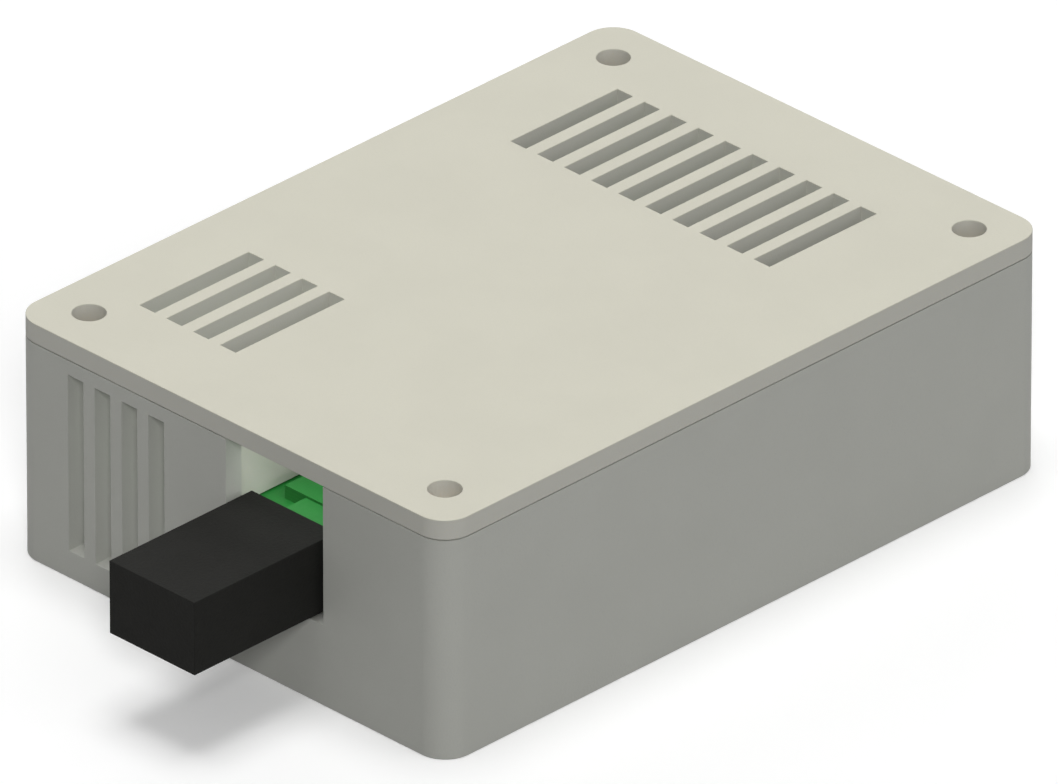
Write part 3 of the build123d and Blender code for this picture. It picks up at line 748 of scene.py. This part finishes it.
for side in (1.0, -1.0):
    ends.append(moved(tree, cap, vector(tree, y=maths(tree, "MULTIPLY", capPlace, side))))
    ends.append(moved(tree, fillet, vector(tree, y=maths(tree, "MULTIPLY", filletPlace, side))))
ends = painted(tree, joined(tree, *ends), given["Cap material"])
setOnPlaces(tree, given["Places"], joined(tree, painted(tree, core, given["Material"]), ends))


def cappedParts(name, node, finish):
    boxes = looseBoxes(node)
    size = (boxes[0][1] - boxes[0][0]) / mm
    sizes = dict(cappedPiece, Width=size.x, Length=size.y, Height=size.z)
    piece = grow(name, tree, [middleOf(box, boardTop) for box in boxes], sizes,
                 {"Material": materials[finish], "Cap material": materials["tin"]})
    bevel = piece.modifiers.new("softEdges", "BEVEL")
    bevel.width = cappedEdge["width"] * mm
    bevel.segments = cappedEdge["segments"]
    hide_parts(node)


cappedParts("smallChips", "small_chips", "ceramic")
cappedParts("boardFuse", "fuse", "fuse")
cappedParts("statusLamp", "status_led", "resin")

# Ring pads and vias
padPiece = {"Outer radius": 2.3, "Inner radius": 1.2, "Thickness": 0.03}
viaPiece = {"Outer radius": 0.42, "Inner radius": 0.18, "Thickness": 0.04}
ringSides = 24
cutter = {"height": 4.0, "start": -1.5}  # in thicknesses, so that it reaches past both faces
tree, given = newTree("ringPad", list(padPiece) + ["Material"])
boreHeight = maths(tree, "MULTIPLY", given["Thickness"], cutter["height"])
boreStart = maths(tree, "MULTIPLY", given["Thickness"], cutter["start"])
bore = moved(tree, cylinder(tree, given["Inner radius"], boreHeight, ringSides), vector(tree, z=boreStart))
ring = cutAway(tree, cylinder(tree, given["Outer radius"], given["Thickness"], ringSides), bore)
setOnPlaces(tree, given["Places"], painted(tree, ring, given["Material"]))
ringTree = tree
solder = {"Material": materials["tin"]}
grow("screwPads", ringTree, [middleOf(box, boardTop) for box in screwBoxes], padPiece, solder)

# Solder joints: a hollow-sided cone where a pin comes through, and in the radio board's edge pads
pinJoint = {"Foot radius": 0.85, "Tip radius": 0.46, "Height": 0.6}
edgePads = {"count": 14, "pitch": 1.27, "joint": {"Foot radius": 0.37, "Tip radius": 0.2, "Height": 1.3}}
jointShape = {"sides": 20, "rings": 6, "hollow": -1.2, "sharpAngle": 50}
tree, given = newTree("solderJoint", list(pinJoint) + ["Material"])
cone = addNode(tree, "GeometryNodeMeshCone", {
    "Vertices": jointShape["sides"], "Side Segments": jointShape["rings"], "Radius Top": given["Tip radius"],
    "Radius Bottom": given["Foot radius"], "Depth": given["Height"],
}).outputs[0]
spot = position(tree)
rise = maths(tree, "DIVIDE", spot[2], given["Height"])
pinch = maths(tree, "MULTIPLY", rise, maths(tree, "SUBTRACT", 1.0, rise))
pinch = maths(tree, "ADD", maths(tree, "MULTIPLY", pinch, jointShape["hollow"]), 1.0)
pinched = [maths(tree, "MULTIPLY", spot[axis], pinch) for axis in (0, 1)]
cone = reshaped(tree, cone, vector(tree, *pinched, spot[2]))
setOnPlaces(tree, given["Places"], painted(tree, cone, given["Material"]))
jointTree = tree
sensorPins = looseBoxes("sensor_pins")
servicePins = looseBoxes("service_pins")
grow("sensorJoints", jointTree, [middleOf(box, sensorBoardTop) for box in sensorPins], pinJoint, solder,
     sharp=jointShape["sharpAngle"])
undersideJoints = grow("undersideJoints", jointTree,
                       [middleOf(box, boardUnderside) for box in sensorPins + servicePins],
                       pinJoint, solder, sharp=jointShape["sharpAngle"])
for vertex in undersideJoints.data.vertices:  # these hang below the board
    vertex.co.z = 2 * boardUnderside - vertex.co.z
undersideJoints.data.flip_normals()

radioLow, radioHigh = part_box("radio_board")
padRows = [radioHigh.y - (i + 1) * edgePads["pitch"] * mm for i in range(edgePads["count"])]
padPlaces = [Vector((x, y, boardTop)) for x in (radioLow.x, radioHigh.x) for y in padRows]
grow("radioJoints", jointTree, padPlaces, edgePads["joint"], solder,
     sharp=jointShape["sharpAngle"])

# Marks: a printed half disc on each capacitor, and a dot at the first corner of each chip
canMark = {"Radius": 2.85, "Reach": 3.2, "Thickness": 0.02}
canMarkSides = 48
chipDot = {"Foot radius": 0.3, "Tip radius": 0.3, "Height": 0.01}
chipDotInset = Vector((0.7, -0.7, 0.0)) * mm
tree, given = newTree("halfDisc", list(canMark) + ["Material"])
disc = cylinder(tree, given["Radius"], given["Thickness"], canMarkSides)
blockSide = maths(tree, "MULTIPLY", given["Radius"], 3.0)  # wide enough to cover the other half
block = brick(tree, blockSide, blockSide, maths(tree, "MULTIPLY", given["Thickness"], cutter["height"]))
blockStart = maths(tree, "MULTIPLY", given["Thickness"], cutter["start"])
block = moved(tree, block, vector(tree, x=given["Reach"], z=blockStart))
setOnPlaces(tree, given["Places"], painted(tree, cutAway(tree, disc, block), given["Material"]))
canBoxes = [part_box("capacitor_can_left"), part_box("capacitor_can_right")]
grow("canMarks", tree, [middleOf(box, box[1].z) for box in canBoxes], canMark,
     {"Material": materials["header"]})
chipBoxes = [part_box("bridge_chip"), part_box("sensor_package")]
grow("chipDots", jointTree, [Vector((low.x, high.y, high.z)) + chipDotInset for low, high in chipBoxes],
     chipDot, {"Material": materials["print"]})

# Tracks and printed outlines: flat strips along paths on the main board
tree, given = newTree("flatStrip", ["Width", "Thickness", "Material"])
paths = addNode(tree, "GeometryNodeMeshToCurve", {"Mesh": given["Places"]}).outputs[0]
paths = addNode(tree, "GeometryNodeSetCurveNormal", {"Curve": paths}, mode="Z_UP").outputs[0]
profile = addNode(tree, "GeometryNodeCurvePrimitiveQuadrilateral", {
    "Width": given["Width"], "Height": maths(tree, "MULTIPLY", given["Thickness"], 2.0)}).outputs[0]
strip = addNode(tree, "GeometryNodeCurveToMesh", {
    "Curve": paths, "Profile Curve": profile, "Fill Caps": True}).outputs[0]
real = addNode(tree, "GeometryNodeRealizeInstances", {"Geometry": painted(tree, strip, given["Material"])})
addNode(tree, "NodeGroupOutput", {0: real.outputs[0]})
stripTree = tree


def track(start, end, wait=0.5):
    # Straight, slanted at 45 degrees, then straight again; wait shares out the straight length
    dx, dy = end[0] - start[0], end[1] - start[1]
    slant = min(abs(dx), abs(dy))
    before = (max(abs(dx), abs(dy)) - slant) * wait
    signX, signY = math.copysign(1, dx), math.copysign(1, dy)
    if abs(dy) > abs(dx):
        bends = [(start[0], start[1] + signY * before), (end[0], start[1] + signY * (before + slant))]
    else:
        bends = [(start[0] + signX * before, start[1]), (start[0] + signX * (before + slant), end[1])]
    return [start] + bends + [end]


def strips(name, paths, closed, sizes, finish, level=boardTop):
    places, edges = [], []
    for path in paths:
        first = len(places)
        places += [Vector((x, y, level)) for x, y in path]
        edges += [(first + i, first + i + 1) for i in range(len(path) - 1)]
        if closed:
            edges.append((len(places) - 1, first))
    grow(name, stripTree, places, sizes, {"Material": materials[finish]}, edges=edges)


def frameAround(node, gap):
    low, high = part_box(node)
    left, right = low.x - gap * mm, high.x + gap * mm
    front, rear = low.y - gap * mm, high.y + gap * mm
    return [(left, front), (right, front), (right, rear), (left, rear)]


def trackRun(x, y, run):
    return track((x, y), (x + run[0] * mm, y + run[1] * mm))


trackPiece = {
    "signal": {"Width": 0.3, "Thickness": 0.03}, "power": {"Width": 1.1, "Thickness": 0.03},
    "chipHalf": 1.2, "sensorWait": 0.3, "bridgePitch": 1.0, "busTracks": 4,
    "radioTracks": 4, "radioStart": 1.0, "radioPitch": 0.7,
    "rearAcross": 3.0, "rearStart": 3.2, "rearPitch": 0.6,
    "serviceFan": 1.5, "serviceRun": 3.4, "serviceWait": 0.2,
    "fuseRun": (-1.5, -5.0), "lampRun": (-2.5, 9.0), "regulatorGap": 3.0,
}
printPiece = {"Width": 0.16, "Thickness": 0.02, "gap": 0.45, "sensorGap": 0.5}
chips = [middleOf(box, 0) for box in looseBoxes("small_chips")]
chipHalf = trackPiece["chipHalf"] * mm
bridgeLow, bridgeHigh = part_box("bridge_chip")
rowLevels = sorted({round(chip.y, 4) for chip in chips})
frontRow, middleRow, rearRow = (
    [chip for chip in chips if round(chip.y, 4) == level] for level in rowLevels)
leftOfRear, rightOfRear = rearRow[:trackPiece["busTracks"]], rearRow[trackPiece["busTracks"]:]
bridgePins = [bridgeLow.x + (1 + i) * trackPiece["bridgePitch"] * mm for i in range(len(chips))]
signalTracks, viaPlaces = [], []
for pin, chip in zip(sensorPins, frontRow):  # sensor header to the parts in front of the bridge chip
    at = middleOf(pin, 0)
    signalTracks.append(track((at.x, at.y), (chip.x, chip.y - chipHalf), trackPiece["sensorWait"]))
for pinX, chip in zip(bridgePins, frontRow):
    signalTracks.append(track((chip.x, chip.y + chipHalf), (pinX, bridgeLow.y)))
for pinX, chip in zip(bridgePins, middleRow):
    signalTracks.append(track((pinX, bridgeHigh.y), (chip.x, chip.y - chipHalf)))
for chip, far in zip(leftOfRear, middleRow):  # a slanting bus from the regulator's parts
    signalTracks.append(track((chip.x, chip.y - chipHalf), (far.x, far.y + chipHalf)))
for i in range(trackPiece["radioTracks"]):  # bridge chip to the radio board
    start = bridgeHigh.y - (trackPiece["radioStart"] + trackPiece["radioPitch"] * i) * mm
    signalTracks.append(track((bridgeHigh.x, start), (radioLow.x, padRows[i])))
for i, chip in enumerate(rightOfRear):
    run = (trackPiece["rearStart"] - trackPiece["rearPitch"] * i) * mm
    end = (chip.x + trackPiece["rearAcross"] * mm, radioHigh.y + run)
    signalTracks.append(track((chip.x, chip.y - chipHalf), end))
    viaPlaces.append(Vector((end[0], end[1], boardTop)))
for pin in servicePins:
    at = middleOf(pin, 0)
    end = (at.x * trackPiece["serviceFan"], at.y - trackPiece["serviceRun"] * mm)
    signalTracks.append(track((at.x, at.y), end, trackPiece["serviceWait"]))
    viaPlaces.append(Vector((end[0], end[1], boardTop)))
strips("signalTracks", signalTracks, False, trackPiece["signal"], "track")

fuseLow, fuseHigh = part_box("fuse")
lampLow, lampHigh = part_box("status_led")
lane = (fuseLow.x + fuseHigh.x) / 2
powerTracks = [
    [(lane, fuseHigh.y), (lane, lampLow.y)],
    trackRun(lane, fuseLow.y, trackPiece["fuseRun"]),
    trackRun(lane, lampHigh.y, trackPiece["lampRun"]),
]
viaPlaces += [Vector((path[-1][0], path[-1][1], boardTop)) for path in powerTracks[1:]]
regulatorLow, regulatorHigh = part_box("regulator_body")
behind = regulatorHigh.y + trackPiece["regulatorGap"] * mm
powerTracks.append([(regulatorLow.x, behind), (regulatorHigh.x, behind)])
strips("powerTracks", powerTracks, False, trackPiece["power"], "track")
grow("vias", ringTree, viaPlaces, viaPiece, solder)

printed = [
    "bridge_chip", "fuse", "status_led", "capacitor_base_left", "capacitor_base_right", "service_strip",
]
printSizes = {label: printPiece[label] for label in ("Width", "Thickness")}
strips("boardPrint", [frameAround(node, printPiece["gap"]) for node in printed], True, printSizes, "print")
strips("sensorPrint", [frameAround("sensor_package", printPiece["sensorGap"])], True, printSizes, "print",
       level=sensorBoardTop)
meshes = [item.data for item in sceneCollection.objects if item.type == "MESH"]
print("meshes so far:", len(meshes), "with", sum(len(mesh.polygons) for mesh in meshes), "faces")


# Floor, light and camera

studio = {
    "floorSize": 6000.0, "floorDrop": 0.02, "floorGlow": 0.15, "floorSides": 96,
    "floorTones": (0.95, 0.97), "floorMottle": 3.0, "floorRoughness": 0.9,
    "bounceTone": 0.25, "skyLevel": 0.2,
}


def grey(level):
    return (level, level, level, 1.0)


def seenDirectly(tree):
    # 1 where the camera looks, also by way of metal or glass, and 0 for light on its way to the object
    rays = addNode(tree, "ShaderNodeLightPath").outputs
    seen = maths(tree, "MAXIMUM", rays["Is Camera Ray"], rays["Is Glossy Ray"])
    return maths(tree, "MAXIMUM", seen, rays["Is Transmission Ray"])


paleFloor, tree, surface, place = newMaterial("paleFloor")
seen = seenDirectly(tree)
mottle = noise(tree, place, studio["floorMottle"])
pale = blendColours(tree, mottle, *(grey(tone) for tone in studio["floorTones"]))
pale = blendColours(tree, seen, grey(studio["bounceTone"]), pale)
tree.links.new(pale, surface.inputs["Base Color"])
tree.links.new(maths(tree, "MULTIPLY", seen, studio["floorGlow"]), surface.inputs["Emission Strength"])
surface.inputs["Emission Color"].default_value = grey(1.0)
surface.inputs["Roughness"].default_value = studio["floorRoughness"]
surface.inputs["Specular IOR Level"].default_value = 0.0

floorMesh = bpy.data.meshes.new("studioFloor")
work = bmesh.new()
floorRadius = studio["floorSize"] * mm
bmesh.ops.create_circle(work, cap_ends=True, segments=studio["floorSides"], radius=floorRadius)
bmesh.ops.translate(work, verts=work.verts, vec=(0, 0, -studio["floorDrop"] * mm))
work.to_mesh(floorMesh)
work.free()
floorMesh.materials.append(paleFloor)
studioFloor = bpy.data.objects.new("studioFloor", floorMesh)
sceneCollection.objects.link(studioFloor)

world = bpy.data.worlds.new("softStudio")
world.use_nodes = True
bpy.context.scene.world = world
tree = world.node_tree
tree.nodes.clear()
strength = addNode(tree, "ShaderNodeMapRange", {
    "Value": seenDirectly(tree), "To Min": studio["skyLevel"], "To Max": 1.0}).outputs["Result"]
background = addNode(tree, "ShaderNodeBackground", {"Color": grey(1.0), "Strength": strength})
addNode(tree, "ShaderNodeOutputWorld", {"Surface": background.outputs[0]})

# Broad lights: one overhead, one from beside the camera that reaches into the slots and the notch,
# and two weak ones from the right and from behind
lights = {
    "overheadSoftbox": {"level": 0.44, "softness": 30.0, "towards": (0.0, 0.0, 1.0)},
    "frontSoftbox": {"level": 0.32, "softness": 13.0, "towards": (0.6, -0.56, 0.57)},
    "sideSoftbox": {"level": 0.09, "softness": 30.0, "towards": (0.85, 0.35, 0.39)},
    "rearSoftbox": {"level": 0.13, "softness": 40.0, "towards": (-0.72, 0.5, 0.48)},
}
for name, light in lights.items():
    data = bpy.data.lights.new(name, "SUN")
    data.energy = light["level"] * math.pi
    data.angle = math.radians(light["softness"])
    lamp = bpy.data.objects.new(name, data)
    lamp.rotation_euler = Vector(light["towards"]).to_track_quat("Z", "Y").to_euler()
    sceneCollection.objects.link(lamp)

# Small lamps inside the box show the boards behind the notch and fill the shade in the vents
panels = {
    "boardBayLamp": {
        "level": 1.85, "size": (20.0, 8.0), "middle": (7.5, -31.5, 22.7), "turn": (0, 0, 0),
    },
    "bayEndLamp": {
        "level": 3.6, "size": (7.0, 12.0), "middle": (24.0, -28.0, 18.5), "turn": (0, 90, 0),
    },
    "wallVentLamp": {
        "level": 0.3, "size": (15.0, 18.5), "middle": (-13.0, -36.2, 12.1), "turn": (-90, 0, 0),
    },
    "frontVentLamp": {
        "level": 0.34, "size": (16.0, 16.0), "middle": (-14.5, -22.75, 21.4), "turn": (180, 0, 0),
    },
    "rearVentLamp": {
        "level": 0.12, "size": (37.0, 16.0), "middle": (-1.75, 23.0, 21.4), "turn": (180, 0, 0),
    },
}
for name, panel in panels.items():
    data = bpy.data.lights.new(name, "AREA")
    data.shape = "RECTANGLE"
    data.size, data.size_y = (side * mm for side in panel["size"])
    data.energy = panel["level"] * math.pi * data.size * data.size_y
    lamp = bpy.data.objects.new(name, data)
    lamp.location = Vector(panel["middle"]) * mm
    lamp.rotation_euler = [math.radians(angle) for angle in panel["turn"]]
    lamp.visible_camera = False
    sceneCollection.objects.link(lamp)

# The picture is a parallel view, so a long lens looks from far away
cameraPiece = {
    "azimuth": 44.91, "elevation": 29.54, "distance": 3000.0, "span": 97.08, "sensor": 36.0,
    "aim": (-0.153, 0.0, 12.144), "clip": (100.0, 20000.0),
}
turn = math.radians(cameraPiece["azimuth"])
lift = math.radians(cameraPiece["elevation"])
back = Vector((math.cos(lift) * math.sin(turn), -math.cos(lift) * math.cos(turn), math.sin(lift)))
cameraData = bpy.data.cameras.new("photoCamera")
cameraData.sensor_width = cameraPiece["sensor"]
cameraData.lens = cameraPiece["sensor"] * cameraPiece["distance"] / cameraPiece["span"]
cameraData.clip_start, cameraData.clip_end = (reach * mm for reach in cameraPiece["clip"])
camera = bpy.data.objects.new("photoCamera", cameraData)
camera.location = (Vector(cameraPiece["aim"]) + back * cameraPiece["distance"]) * mm
camera.rotation_mode = "QUATERNION"
camera.rotation_quaternion = back.to_track_quat("Z", "Y")
sceneCollection.objects.link(camera)
bpy.context.scene.camera = camera
bpy.context.scene.view_settings.view_transform = "Standard"
print("stage, light and camera are set")
